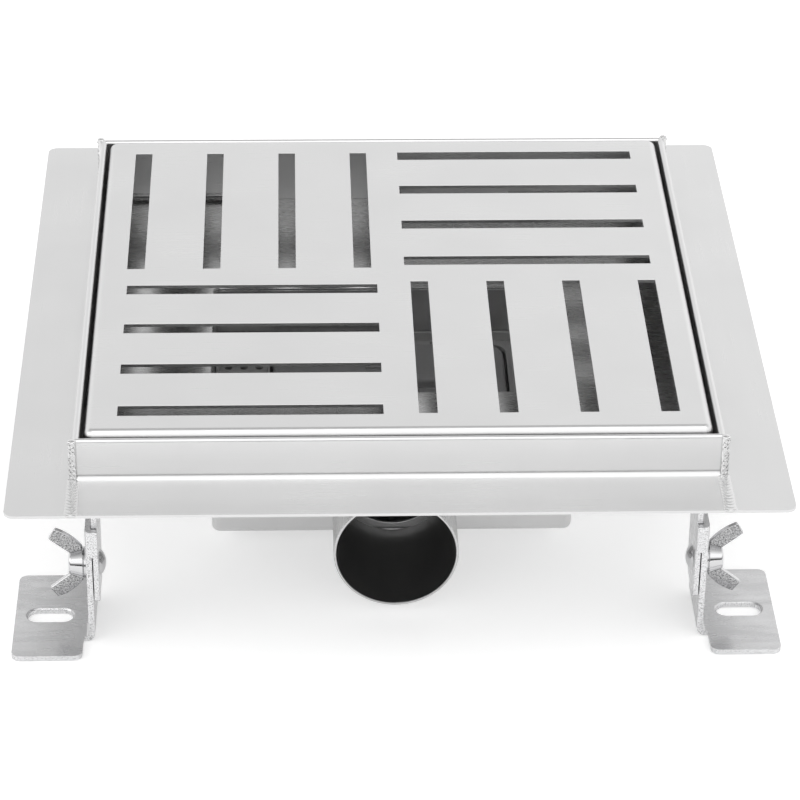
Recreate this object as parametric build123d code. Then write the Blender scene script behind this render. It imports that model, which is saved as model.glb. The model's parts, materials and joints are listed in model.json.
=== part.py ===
from build123d import *
import os

# Square shower floor drain: a basket-weave grate that stands loose in a flanged tray, a sump with a
# lift-out bell trap under the tray, a 50 mm side outlet, and four feet that clamp at the wanted height.
# Millimetres. The origin is on the floor under the middle of the flange, +Z is up and the outlet
# points to -Y.

os.makedirs("parts", exist_ok=True)

# ---- Driving dimensions -------------------------------------------------------------------------

# Heights above the floor
flange_top = 82.5            # upper face of the flange
upstand_height = 17.4        # rim of the upstand above the flange
grate_proud = 1.1            # top of the grate above the rim
tray_depth = 10.0            # tray floor below the flange's upper face

# Frame: flange, upstand and hem, folded from one gauge of sheet
sheet = 1.2
flange_side = 300.0
flange_corner_r = 4.0
upstand_side = 249.4         # across the outside of the upstand
upstand_bend_r = 2.5         # concave bend between flange and upstand
hem_width = 2.6              # rolled rim, outside of the upstand to inside of the tray
wall_seam_drop = 2.0         # weld seam between the frame's inner leg and the tray, below the flange top
tray_bend_r = 1.0            # inside bend between tray floor and tray wall
mouth_edge_r = 0.8           # rounded edge round the sump's mouth

# Welds
corner_bead_r = 1.25         # bead up each corner of the upstand, fused through the wall
seam_bead_width = 4.6
seam_bead_height = 0.45      # crown above the flange
seam_root_depth = 0.9        # root below the flange's upper face
outlet_bead_leg = 1.4        # weld round the outlet: toe to corner, along tube and wall
outlet_bead_crown = 0.8      # corner to crown, along each side
outlet_bead_root = 0.6       # bevel on the tube's end that the weld fills

# Grate
grate_side = 241.0
grate_sheet = 1.5
grate_edge_r = 3.0           # outside radius of the folded edge
grate_corner_r = 3.6         # outside radius of the skirt's upright corners
slot_width = 7.2
slot_length = 102.4
slot_pitch = 31.2
slot_first = 11.5            # centre line of a quarter's first slot, from the grate's middle
slot_inner_end = 5.8         # near end of every slot, from the grate's middle
slots_per_quarter = 4
weep_height = 3.2            # drain notches in the lower edge of the skirt
weep_length = 56.0
weep_offset = 84.0           # middle of a notch, from the middle of its side

# Sump
sump_length = 147.0          # inside, along X
sump_width = 85.0            # inside, along Y
sump_y = -3.5                # middle of the sump
sump_bottom_drop = 78.0      # underside of the sump below the flange's upper face
sump_bend_r = 2.2            # inside radius of its upright corners
sump_floor_ease = 0.1        # its floor bends are this much tighter
sump_lip = 6.0               # welded lip under the tray floor

# Outlet
pipe_r = 25.0
pipe_wall = 1.2
pipe_mouth_y = -100.0
pipe_drop = 52.6             # axis below the flange's upper face
pipe_edge_r = 0.4            # broken edges of the mouth
outlet_hole_r = 20.4         # hole in the sump wall, smaller than the pipe's bore

# Trap, all moulded
trap_wall = 2.0
trap_play = 0.5              # rim to sump wall
seal_play = 0.3              # gasket to sump wall
deck_drop = 35.5             # strainer deck below the flange's upper face
deck_sheet = 1.5
deck_lip_height = 4.0
rim_thickness = 2.5
tub_inset = 2.0              # tub's mouth, outside, to the sump wall
tub_depth = 26.5
tub_draft = 18.0             # degrees
tub_corner_r = 12.0
gasket_height = 3.0
gasket_width = 1.5
gasket_play = 0.1
trap_leg_r = 3.5
trap_leg_x = 50.0
trap_leg_y = 22.0
standpipe_length = 64.0
standpipe_width = 34.0
standpipe_height = 18.0
standpipe_corner_r = 10.0
bell_length = 98.0
bell_width = 69.0
bell_corner_r = 9.0
bell_plate = 2.5
bell_gap = 1.3               # bell's edge to the deck's opening
deck_opening_corner_r = 6.0
bell_edge_r = 1.5
bell_skirt_length = 88.0
bell_skirt_width = 52.0
bell_skirt_corner_r = 12.0
bell_window_height = 5.0     # water passes under the skirt here
bell_window_length = 60.0
bell_window_width = 28.0
grip_length = 40.0
grip_width = 5.0
grip_height = 4.5
grip_edge_r = 2.0
grip_rib_pitch = 3.0
grip_rib_width = 1.2
grip_rib_height = 0.8
grip_ribs = 4
deck_bead_width = 1.0
deck_bead_height = 0.7
strainer_hole_r = 1.7
strainer_pitch = 6.5         # hole pitch in the end fields
strainer_margin = 0.8        # least web between a hole and the field's edge
strainer_rows = 9
side_hole_r = 1.5
side_hole_pitch = 9.9        # single rows beside the bell
side_holes = 9

# Hangers and feet; the values are for the foot at +X and -Y, the other three are mirrored
hanger_sheet = 2.2
hanger_inner_x = 117.3
hanger_y = -104.7            # bolt line
hanger_width = 22.0
hanger_drop = 64.0           # lower end below the flange's upper face
hanger_tab = 22.0            # tab welded under the tray floor
hanger_bend_r = 3.0
hanger_front_r = 1.5
hanger_rear_r = 6.0
foot_sheet = 2.4
foot_play = 0.3              # between hanger, leg and washer
foot_y = -101.0
foot_base_gap = 2.2          # outer face of the leg to the inner edge of the base
foot_base_width = 28.0
foot_base_length = 56.0
foot_base_corner_r = 3.5
foot_leg_length = 30.0
foot_leg_drop = 29.0         # top of the leg below the flange's upper face
foot_bend_r = 3.6            # outside radius between leg and base
foot_top_r = 2.0
foot_lip_height = 12.0       # guide lip round the hanger's front edge
foot_lip_bend_r = 2.3
foot_slot_length = 18.2
foot_slot_width = 8.6
foot_slot_rim = 0.6          # broken upper edge of the slot
foot_travel_down = 14.0
foot_travel_up = 9.0

# Clamp bolts, washers and wing nuts, M6
bolt_r = 3.0
bolt_drop = 52.0             # axis below the flange's upper face
bolt_slot_play = 0.3
bolt_head_r = 5.5
bolt_head_height = 2.4
bolt_neck_side = 6.4
bolt_neck_play = 0.05
bolt_chamfer = 0.6
washer_r = 6.25
washer_thickness = 1.0
washer_play = 0.09
nut_play = 0.08
nut_base_r = 6.4
nut_top_r = 5.0
nut_length = 6.2
nut_top_round = 1.4
bolt_end_recess = 0.5        # bolt's end inside the nut's outer face
wing_thickness = 2.2
wing_base_out = 0.6          # wing's edge clear of the washer
wing_root_out = 5.0          # where the wing's inner edge leaves the hub, from the hub's base
wing_root_low = 3.6          # wing's root on the hub, from the bolt's axis
wing_root_high = 8.6
wing_crown = 1.1             # rise of the wing's curved outer edge
wing_tip_out = 9.2           # outer corner of the tip, from the hub's base
wing_tip_high = 16.9
wing_nose_out = 12.3         # inner corner of the tip, from the hub's base
wing_nose_high = 11.4
wing_corner_r = 0.7

# ---- Sizes that follow from them -----------------------------------------------------------------

rim_top = flange_top + upstand_height
grate_top = rim_top + grate_proud
tray_floor = flange_top - tray_depth
tray_under = tray_floor - sheet
seam_z = flange_top - wall_seam_drop
upstand_half = upstand_side / 2
wall_outer_half = upstand_half - hem_width + sheet
wall_inner_half = upstand_half - hem_width
sump_bottom = flange_top - sump_bottom_drop
sump_floor = sump_bottom + sheet
sump_front = sump_y - sump_width / 2 - sheet
pipe_axis_z = flange_top - pipe_drop
pipe_bore_r = pipe_r - pipe_wall
deck_top = flange_top - deck_drop
deck_under = deck_top - deck_sheet
rim_under = deck_under - rim_thickness
tub_under = rim_under - tub_depth
tub_floor = tub_under + trap_wall
leg_outer_x = hanger_inner_x + hanger_sheet + foot_play + foot_sheet
leg_inner_x = leg_outer_x - foot_sheet
foot_base_inner_x = leg_outer_x + foot_base_gap
nut_base_x = leg_outer_x + foot_play + washer_thickness
bolt_z = flange_top - bolt_drop


def block(x, y, z):
    """Box between two X, two Y and two Z values."""
    size = [span[1] - span[0] for span in (x, y, z)]
    middle = [(span[1] + span[0]) / 2 for span in (x, y, z)]
    return Pos(*middle) * Box(*size)


def rounded_block(length, width, corner_r, z, taper=0):
    """Upright prism over the sump's middle with rounded corners, between two Z values.
    With a taper it is drawn from the upper value down."""
    outline = RectangleRounded(length, width, corner_r)
    if taper:
        return extrude(Pos(0, sump_y, z[1]) * outline, z[1] - z[0], dir=(0, 0, -1), taper=taper)
    return extrude(Pos(0, sump_y, z[0]) * outline, z[1] - z[0])


def upright(edges):
    return edges.filter_by(Axis.Z)


def save(name, solid):
    export_step(solid, f"parts/{name}.step")


# ---- Frame: four folded strips, mitred at the upstand's corners ------------------------------------

def frame_strip_section():
    """Section of a strip: X is the distance from the drain's middle, Y the height."""
    bend = Pos(upstand_half + upstand_bend_r, flange_top + upstand_bend_r) * (
        (Circle(upstand_bend_r + sheet) - Circle(upstand_bend_r))
        & Pos(-upstand_bend_r, -upstand_bend_r) * Rectangle(2 * upstand_bend_r, 2 * upstand_bend_r))
    hem_r = hem_width / 2
    hem_z = rim_top - hem_r
    hem = Pos(upstand_half - hem_r, hem_z) * (
        (Circle(hem_r) - Circle(hem_r - sheet)) & Pos(0, hem_r) * Rectangle(2 * hem_r, 2 * hem_r))
    flange = section_bar(upstand_half + upstand_bend_r, flange_side / 2, flange_top - sheet, flange_top)
    outer_leg = section_bar(upstand_half - sheet, upstand_half, flange_top + upstand_bend_r, hem_z)
    inner_leg = section_bar(wall_inner_half, wall_outer_half, seam_z, hem_z)
    return flange + bend + outer_leg + hem + inner_leg


def section_bar(u0, u1, z0, z1):
    return Pos((u0 + u1) / 2, (z0 + z1) / 2) * Rectangle(u1 - u0, z1 - z0)


def frame_strip():
    """Strip on the +X side, as long as the upstand and mitred at both ends."""
    bar = extrude(Plane.XZ * frame_strip_section(), upstand_half, both=True)
    plan = Polyline((0, 0), (upstand_half, upstand_half), (flange_side / 2, upstand_half),
                    (flange_side / 2, -upstand_half), (upstand_half, -upstand_half), close=True)
    return bar & extrude(make_face(plan), grate_top)


def side_strip():
    """Left and right strips carry the flange's four corners."""
    corner = block((upstand_half, flange_side / 2), (upstand_half, flange_side / 2),
                   (flange_top - sheet, flange_top))
    outermost = upright(corner.edges()).sort_by(lambda e: e.center().X + e.center().Y)[-1]
    corner = fillet(outermost, flange_corner_r)
    return frame_strip() + corner + mirror(corner, about=Plane.XZ)


# ---- Weld beads: one up each corner of the upstand, then along the seam to the flange's edge ---------

def corner_weld():
    """Bead at the +X, +Y corner, fused through wall and flange; the seam's section is a lens."""
    upright_bead = Pos(upstand_half, upstand_half, flange_top - sheet) * extrude(
        Circle(corner_bead_r), upstand_height + sheet - hem_width)
    crown_r = (seam_bead_width ** 2 / 4 + seam_bead_height ** 2) / (2 * seam_bead_height)
    root_r = (seam_bead_width ** 2 / 4 + seam_root_depth ** 2) / (2 * seam_root_depth)
    crown = Pos(0, seam_bead_height - crown_r) * Circle(crown_r)
    lens = crown & Pos(0, root_r - seam_root_depth) * Circle(root_r)
    seam = extrude(Plane.XZ * lens, -(flange_side - upstand_side) / 2)
    return upright_bead + Pos(upstand_half, upstand_half, flange_top) * seam


bead = corner_weld()
beads = [bead, mirror(bead, about=Plane.YZ)]
beads += [mirror(solid, about=Plane.XZ) for solid in beads]
save("corner_welds", Compound(children=[piece for solid in beads for piece in solid.solids()]))

strip = frame_strip()
right_strip = side_strip()
strips = {
    "flange_right": right_strip,
    "flange_left": Rot(0, 0, 180) * right_strip,
    "flange_rear": Rot(0, 0, 90) * strip,
    "flange_front": Rot(0, 0, -90) * strip,
}
for name, solid in strips.items():
    save(name, solid - beads)


# ---- Tray and sump ---------------------------------------------------------------------------------

def tray():
    outer = block((-wall_outer_half, wall_outer_half), (-wall_outer_half, wall_outer_half),
                  (tray_under, seam_z))
    inner = block((-wall_inner_half, wall_inner_half), (-wall_inner_half, wall_inner_half),
                  (tray_floor, seam_z + sheet))
    outer = fillet(outer.faces().sort_by(Axis.Z)[0].edges(), tray_bend_r + sheet)
    inner = fillet(inner.faces().sort_by(Axis.Z)[0].edges(), tray_bend_r)
    mouth = rounded_block(sump_length, sump_width, sump_bend_r, (tray_under - sheet, seam_z))
    pan = outer - inner - mouth
    rim = pan.edges().filter_by_position(Axis.Z, tray_floor - 0.01, tray_floor + 0.01)
    rim = rim.filter_by(lambda e: abs(e.center().X) < sump_length / 2 + 0.1)
    rim = rim.filter_by(lambda e: abs(e.center().Y - sump_y) < sump_width / 2 + 0.1)
    return fillet(rim, mouth_edge_r)


def sump():
    wall = 2 * sheet
    outer = rounded_block(sump_length + wall, sump_width + wall, sump_bend_r + sheet,
                          (sump_bottom, tray_under))
    inner = rounded_block(sump_length, sump_width, sump_bend_r, (sump_floor, tray_under + sheet))
    outer = fillet(outer.faces().sort_by(Axis.Z)[0].edges(), sump_bend_r + sheet - sump_floor_ease)
    inner = fillet(inner.faces().sort_by(Axis.Z)[0].edges(), sump_bend_r - sump_floor_ease)
    lip = rounded_block(sump_length + 2 * sump_lip, sump_width + 2 * sump_lip, sump_lip,
                        (tray_under - sheet, tray_under))
    hole = Pos(0, sump_front, pipe_axis_z) * Rot(90, 0, 0) * Cylinder(outlet_hole_r, 4 * sheet)
    return outer + lip - inner - hole


save("tray_pan", tray())
save("sump_box", sump())


# ---- Outlet ----------------------------------------------------------------------------------------

pipe_length = sump_front - pipe_mouth_y
pipe = Cylinder(pipe_r, pipe_length) - Cylinder(pipe_bore_r, pipe_length)
pipe = fillet(pipe.edges().filter_by(GeomType.CIRCLE).sort_by(Axis.Z)[-2:], pipe_edge_r)
pipe = Pos(0, (sump_front + pipe_mouth_y) / 2, pipe_axis_z) * Rot(90, 0, 0) * pipe

toe, heel = (pipe_r, outlet_bead_leg), (pipe_r + outlet_bead_leg, 0)
crown = (pipe_r + outlet_bead_crown, outlet_bead_crown)
collar_outline = Polyline(heel, (pipe_r - outlet_bead_root, 0), toe) + ThreePointArc(toe, crown, heel)
collar = revolve(Plane.XZ * make_face(collar_outline), Axis.Z)
collar = Pos(0, sump_front, pipe_axis_z) * Rot(90, 0, 0) * collar
save("outlet_pipe", pipe - collar)
save("outlet_weld", collar)


# ---- Grate -----------------------------------------------------------------------------------------

def grate_shell(side, top, edge_r, corner_r):
    body = block((-side / 2, side / 2), (-side / 2, side / 2), (tray_floor, top))
    body = fillet(upright(body.edges()), corner_r)
    return fillet(body.faces().sort_by(Axis.Z)[-1].edges(), edge_r)


def grate():
    shell = grate_shell(grate_side, grate_top, grate_edge_r, grate_corner_r)
    shell -= grate_shell(grate_side - 2 * grate_sheet, grate_top - grate_sheet,
                         grate_edge_r - grate_sheet, grate_corner_r - grate_sheet)
    slot_y = (slot_inner_end, slot_inner_end + slot_length)
    slot_z = (grate_top - 2 * grate_sheet, grate_top + grate_sheet)
    cuts = []
    for index in range(slots_per_quarter):
        x = -(slot_first + index * slot_pitch)
        cuts.append(block((x - slot_width / 2, x + slot_width / 2), slot_y, slot_z))
    for offset in (-weep_offset, weep_offset):
        cuts.append(block((offset - weep_length / 2, offset + weep_length / 2),
                          (grate_side / 2 - 2 * grate_sheet, grate_side / 2 + grate_sheet),
                          (tray_floor, tray_floor + weep_height)))
    for quarter in range(4):
        shell -= [Rot(0, 0, 90 * quarter) * cut for cut in cuts]
    return shell


save("grate_cover", grate())


# ---- Trap: tub with standpipe, gasket, bell, strainer deck ------------------------------------------

deck_length = sump_length - 2 * trap_play
deck_width = sump_width - 2 * trap_play
deck_corner_r = sump_bend_r + trap_play
opening_length = bell_length + 2 * bell_gap
opening_width = bell_width + 2 * bell_gap


def trap_body():
    tub_length = sump_length - 2 * tub_inset
    tub_width = sump_width - 2 * tub_inset
    body = rounded_block(deck_length, deck_width, deck_corner_r, (rim_under, deck_under))
    body += rounded_block(tub_length, tub_width, tub_corner_r, (tub_under, rim_under), tub_draft)
    hollow = (tub_length - 2 * trap_wall, tub_width - 2 * trap_wall, tub_corner_r - trap_wall)
    body -= rounded_block(*hollow, (tub_floor, rim_under), tub_draft)
    body -= rounded_block(*hollow, (rim_under, deck_under))
    body += rounded_block(standpipe_length, standpipe_width, standpipe_corner_r,
                          (tub_floor, tub_floor + standpipe_height))
    body -= rounded_block(standpipe_length - 2 * trap_wall, standpipe_width - 2 * trap_wall,
                          standpipe_corner_r - trap_wall, (tub_under, tub_floor + standpipe_height))
    leg_length = tub_under - sump_floor
    for x in (-trap_leg_x, trap_leg_x):
        for y in (sump_y - trap_leg_y, sump_y + trap_leg_y):
            body += Pos(x, y, sump_floor + leg_length / 2) * Cylinder(trap_leg_r, leg_length)
    return body


def trap_gasket():
    length = sump_length - 2 * seal_play
    width = sump_width - 2 * seal_play
    levels = (rim_under - gasket_height, rim_under)
    ring = rounded_block(length, width, deck_corner_r, levels)
    return ring - rounded_block(length - 2 * gasket_width, width - 2 * gasket_width, tub_corner_r, levels)


def trap_bell():
    plate = rounded_block(bell_length, bell_width, bell_corner_r, (deck_top, deck_top + bell_plate))
    plate = fillet(plate.faces().sort_by(Axis.Z)[-1].edges(), bell_edge_r)
    skirt = rounded_block(bell_skirt_length, bell_skirt_width, bell_skirt_corner_r, (tub_floor, deck_top))
    skirt -= rounded_block(bell_skirt_length - 2 * trap_wall, bell_skirt_width - 2 * trap_wall,
                           bell_skirt_corner_r - trap_wall, (tub_floor, deck_top))
    window = (tub_floor, tub_floor + bell_window_height)
    skirt -= block((-bell_window_length / 2, bell_window_length / 2),
                   (sump_y - bell_skirt_width, sump_y + bell_skirt_width), window)
    skirt -= block((-bell_skirt_length, bell_skirt_length),
                   (sump_y - bell_window_width / 2, sump_y + bell_window_width / 2), window)
    top = deck_top + bell_plate
    grip = block((-grip_length / 2, grip_length / 2), (sump_y - grip_width / 2, sump_y + grip_width / 2),
                 (top, top + grip_height))
    grip = fillet(grip.edges().filter_by(Axis.X).sort_by(Axis.Z)[-2:], grip_edge_r)
    bell = plate + skirt + grip
    for side in (-1, 1):
        for index in range(grip_ribs):
            y = sump_y + side * (grip_width + (index + 1) * grip_rib_pitch)
            bell += block((-grip_length / 4, grip_length / 4),
                          (y - grip_rib_width / 2, y + grip_rib_width / 2), (top, top + grip_rib_height))
    return bell


def strainer_deck():
    deck = rounded_block(deck_length, deck_width, deck_corner_r, (deck_under, deck_top + deck_lip_height))
    inner_length = deck_length - 2 * deck_sheet
    inner_width = deck_width - 2 * deck_sheet
    deck -= rounded_block(inner_length, inner_width, deck_corner_r - deck_sheet,
                          (deck_top, deck_top + deck_lip_height))
    bead_length = opening_length + 2 * deck_bead_width
    bead_width = opening_width + 2 * deck_bead_width
    deck += rounded_block(bead_length, bead_width, deck_opening_corner_r + deck_bead_width,
                          (deck_top, deck_top + deck_bead_height))
    deck -= rounded_block(opening_length, opening_width, deck_opening_corner_r,
                          (deck_under, deck_top + deck_lip_height))
    drill = Pos(0, sump_y, deck_top) * Cylinder(strainer_hole_r, 4 * deck_sheet)
    room = (inner_length - bead_length) / 2 - 2 * strainer_hole_r - 2 * strainer_margin
    columns = max(1, int(room / strainer_pitch) + 1)
    for side in (-1, 1):
        field = Pos(side * (inner_length + bead_length) / 4, 0, 0)
        deck -= [field * place * drill
                 for place in GridLocations(strainer_pitch, strainer_pitch, columns, strainer_rows)]
    side_drill = Pos(0, sump_y, deck_top) * Cylinder(side_hole_r, 4 * deck_sheet)
    for side in (-1, 1):
        row = Pos(0, side * (inner_width + bead_width) / 4, 0)
        deck -= [row * place * side_drill for place in GridLocations(side_hole_pitch, 1, side_holes, 1)]
    return deck


save("trap_body", trap_body())
save("trap_gasket", trap_gasket())
save("trap_bell", trap_bell())
save("strainer_deck", strainer_deck())


# ---- Hanger, foot, bolt, washer and wing nut, drawn at +X and -Y ------------------------------------

def hanger():
    y = (hanger_y - hanger_width / 2, hanger_y + hanger_width / 2)
    outer_x = hanger_inner_x + hanger_sheet
    strip = block((hanger_inner_x, outer_x), y, (flange_top - hanger_drop, tray_under))
    lower = strip.edges().filter_by(Axis.X).sort_by(Axis.Z)[:2].sort_by(Axis.Y)
    strip = fillet(lower[0], hanger_front_r)
    lower = strip.edges().filter_by(Axis.X).sort_by(Axis.Z)
    lower = lower.filter_by(lambda e: abs(e.center().Y - y[1]) < 0.01)[:1]
    strip = fillet(lower, hanger_rear_r)
    tab = block((outer_x - hanger_tab, outer_x), y, (tray_under - hanger_sheet, tray_under))
    bent = strip + tab
    crown = bent.edges().filter_by(Axis.Y).filter_by(lambda e: e.center().X > outer_x - 0.01)
    bent = fillet(crown.sort_by(Axis.Z)[-1], hanger_bend_r)
    hole = bolt_neck_side + 2 * bolt_neck_play
    return bent - block((hanger_inner_x - hanger_sheet, outer_x + hanger_sheet),
                        (hanger_y - hole / 2, hanger_y + hole / 2), (bolt_z - hole / 2, bolt_z + hole / 2))


def foot():
    leg_y = (foot_y - foot_leg_length / 2, foot_y + foot_leg_length / 2)
    leg_top = flange_top - foot_leg_drop
    base_x = (foot_base_inner_x, foot_base_inner_x + foot_base_width)
    angle = block((leg_inner_x, foot_base_inner_x + foot_sheet), leg_y, (0, leg_top))
    angle -= block((leg_outer_x, base_x[1]), leg_y, (foot_sheet, leg_top))
    heel = angle.edges().filter_by(Axis.Y).sort_by(lambda e: e.center().X + e.center().Z)
    angle = fillet(heel[0], foot_bend_r)
    inner_corner = angle.edges().filter_by(Axis.Y)
    inner_corner = inner_corner.filter_by(
        lambda e: abs(e.center().X - leg_outer_x) < 0.01 and abs(e.center().Z - foot_sheet) < 0.01)
    angle = fillet(inner_corner, foot_bend_r - foot_sheet)
    rear_top = angle.edges().filter_by(Axis.X).sort_by(Axis.Z)[-2:].sort_by(Axis.Y)[-1]
    angle = fillet(rear_top, foot_top_r)
    base = block(base_x, (foot_y - foot_base_length / 2, foot_y + foot_base_length / 2), (0, foot_sheet))
    base = fillet(upright(base.edges()), foot_base_corner_r)
    lip_y = (leg_y[0] - foot_sheet, leg_y[0])
    lip = block((hanger_inner_x, leg_outer_x), lip_y, (leg_top - foot_lip_height, leg_top))
    lip = fillet(upright(lip.edges()).sort_by(lambda e: e.center().X - e.center().Y)[-1], foot_lip_bend_r)
    body = angle + base + lip
    height_slot_r = bolt_r + bolt_slot_play
    height_slot_z = bolt_z + (foot_travel_down - foot_travel_up) / 2
    height_slot = SlotOverall(foot_travel_down + foot_travel_up + 2 * height_slot_r, 2 * height_slot_r)
    body -= Pos(leg_inner_x, hanger_y, height_slot_z) * Rot(0, 90, 0) * extrude(
        height_slot, 2 * foot_sheet, both=True)
    body -= Pos(sum(base_x) / 2, foot_y, 0) * extrude(
        SlotOverall(foot_slot_length, foot_slot_width), 2 * foot_sheet, both=True)
    base_top = body.faces().filter_by(Axis.Z).filter_by(lambda f: abs(f.center().Z - foot_sheet) < 0.01)
    rim = base_top.sort_by(SortBy.AREA)[-1].inner_wires()[0].edges()
    return chamfer(rim, foot_slot_rim)


def clamp_bolt():
    """Carriage bolt: low dome head, square neck in the hanger, plain shank."""
    end_x = nut_base_x + nut_length - bolt_end_recess
    neck_end = hanger_inner_x + hanger_sheet
    dome_r = (bolt_head_r ** 2 + bolt_head_height ** 2) / (2 * bolt_head_height)
    disc = Pos(0, 0, bolt_head_height / 2) * Cylinder(bolt_head_r, bolt_head_height)
    dome = Pos(0, 0, dome_r) * Sphere(dome_r) & disc
    head = Pos(hanger_inner_x - bolt_head_height, hanger_y, bolt_z) * Rot(0, 90, 0) * dome
    half = bolt_neck_side / 2
    sides = (hanger_y - half, hanger_y + half), (bolt_z - half, bolt_z + half)
    neck = block((hanger_inner_x, neck_end), *sides)
    shank_length = end_x - neck_end
    shank = Cylinder(bolt_r, shank_length)
    shank = chamfer(shank.edges().sort_by(Axis.Z)[-1], bolt_chamfer)
    return head + neck + Pos(neck_end + shank_length / 2, hanger_y, bolt_z) * Rot(0, 90, 0) * shank


def washer():
    ring = Cylinder(washer_r, washer_thickness) - Cylinder(bolt_r + washer_play, washer_thickness)
    return Pos(nut_base_x - washer_thickness / 2, hanger_y, bolt_z) * Rot(0, 90, 0) * ring


def wing_nut():
    """Cone-shaped hub with two flat wings that flare outwards, on the bolt's axis."""
    hub = Cone(nut_base_r, nut_top_r, nut_length)
    hub = fillet(hub.edges().filter_by(GeomType.CIRCLE).sort_by(Axis.Z)[-1], nut_top_round)
    hub = Pos(nut_base_x + nut_length / 2, hanger_y, bolt_z) * Rot(0, 90, 0) * hub
    heel = Vector(wing_base_out, wing_root_low)
    root = Vector(wing_base_out, wing_root_high)
    tip = Vector(wing_tip_out, wing_tip_high)
    nose = Vector(wing_nose_out, wing_nose_high)
    throat = Vector(wing_root_out, wing_root_low)
    crest = (root + tip) * 0.5 + (tip - root).normalized().rotate(Axis.Z, 90) * wing_crown
    outline = make_face(Curve() + [
        Line(throat, heel),
        Line(heel, root),
        ThreePointArc(root, crest, tip),
        Line(tip, nose),
        Line(nose, throat),
    ])
    wing = extrude(Plane.XZ * outline, wing_thickness / 2, both=True)
    tips = wing.edges().filter_by(Axis.Y).sort_by(Axis.X)[-2:]
    wing = fillet(tips, wing_corner_r)
    wing = Pos(nut_base_x, hanger_y, bolt_z) * wing
    other = mirror(wing, about=Plane.XY.offset(bolt_z))
    bore = Pos(nut_base_x, hanger_y, bolt_z) * Rot(0, 90, 0) * Cylinder(bolt_r + nut_play, 4 * nut_length)
    return hub + wing + other - bore


corners = {"front_right": (1, -1), "front_left": (-1, -1), "rear_right": (1, 1), "rear_left": (-1, 1)}
fittings = {"hanger": hanger(), "foot": foot(), "clamp_bolt": clamp_bolt(), "washer": washer(),
            "wing_nut": wing_nut()}
for corner, (side_x, side_y) in corners.items():
    for name, solid in fittings.items():
        placed = solid
        if side_x < 0:
            placed = mirror(placed, about=Plane.YZ)
        if side_y > 0:
            placed = mirror(placed, about=Plane.XZ)
        save(f"{name}_{corner}", placed)
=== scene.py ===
import json
import math

import bmesh
import bpy
import numpy as np
from bpy.props import FloatProperty, FloatVectorProperty, PointerProperty
from mathutils import Matrix, Vector

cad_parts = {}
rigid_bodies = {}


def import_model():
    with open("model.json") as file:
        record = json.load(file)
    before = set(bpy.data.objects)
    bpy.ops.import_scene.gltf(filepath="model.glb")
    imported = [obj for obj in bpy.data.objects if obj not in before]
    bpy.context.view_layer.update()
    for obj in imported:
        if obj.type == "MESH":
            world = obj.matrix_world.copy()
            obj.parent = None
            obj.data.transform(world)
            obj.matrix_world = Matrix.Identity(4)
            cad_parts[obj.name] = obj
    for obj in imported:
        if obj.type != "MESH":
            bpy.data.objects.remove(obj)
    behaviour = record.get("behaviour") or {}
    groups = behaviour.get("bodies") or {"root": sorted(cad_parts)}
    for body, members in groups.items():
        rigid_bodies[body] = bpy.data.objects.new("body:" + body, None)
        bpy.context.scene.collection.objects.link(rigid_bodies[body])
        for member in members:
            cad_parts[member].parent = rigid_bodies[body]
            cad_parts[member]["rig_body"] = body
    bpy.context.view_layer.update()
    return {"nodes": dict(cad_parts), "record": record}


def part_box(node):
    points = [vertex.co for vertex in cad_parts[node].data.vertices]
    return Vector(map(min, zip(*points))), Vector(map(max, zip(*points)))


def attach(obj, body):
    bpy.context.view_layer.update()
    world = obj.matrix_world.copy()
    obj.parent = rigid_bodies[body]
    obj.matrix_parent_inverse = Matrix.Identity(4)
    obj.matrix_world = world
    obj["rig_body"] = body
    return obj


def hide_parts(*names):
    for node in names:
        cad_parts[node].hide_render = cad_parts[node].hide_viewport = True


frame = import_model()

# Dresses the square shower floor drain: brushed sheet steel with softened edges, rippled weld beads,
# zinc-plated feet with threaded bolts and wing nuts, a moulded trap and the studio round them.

bl_info = {
    "name": "Shower Floor Drain",
    "version": (1, 0, 0),
    "blender": (4, 5, 0),
    "location": "3D View > Sidebar > Drain",
    "description": "Dresses the packed floor drain with its finishes, welds and fasteners",
    "category": "Object",
}

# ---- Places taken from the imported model, in metres --------------------------------------------------

MOUNTS = {mount["name"]: mount for mount in frame["record"]["mounts"]}
CORNERS = {"front_right": (1, -1), "front_left": (-1, -1), "rear_right": (1, 1), "rear_left": (-1, 1)}
FLANGE_TOP = MOUNTS["flange_face"]["pos_m"][2]
FLANGE_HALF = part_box("flange_right")[1].x
UPSTAND_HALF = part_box("flange_front")[1].x
BEAD_FOOT, BEAD_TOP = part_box("corner_welds")[0].z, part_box("flange_front")[1].z
PIPE_R = MOUNTS["outlet"]["dims"]["r_mm"] / 1000
PIPE_Z = MOUNTS["outlet"]["pos_m"][2]
PIPE_ROOT_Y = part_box("outlet_pipe")[1].y
TRAY_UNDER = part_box("hanger_front_right")[1].z
NUT_AXIS_Y = abs(sum(corner.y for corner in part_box("washer_front_right"))) / 2
NUT_AXIS_Z = sum(corner.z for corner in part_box("washer_front_right")) / 2

# ---- Values that this file sets, in metres ----------------------------------------------------------

# Slope of a wing's outer edge against the bolt's axis. The streaks of the casting run along it.
WING_SLOPE = math.radians(38.7)
# Middles of the trap's legs along X, and of the strainer's rows of holes along X (0) and Y (1). They repeat
# the solids' own values, which the frame doesn't name.
LEG_X = 0.05
HOLE_ROWS = {0: (-0.0679, -0.0614, -0.0549, 0.0549, 0.0614, 0.0679), 1: (-0.04215, 0.03515)}
# Points closer than this are one: in a surface worked out here, and in a solid's mesh.
MERGE_SURFACE, MERGE_SOLID = 1e-7, 1e-6
# Range that most values of a noise pattern fill.
NOISE_RANGE = (0.3, 0.7)
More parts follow.
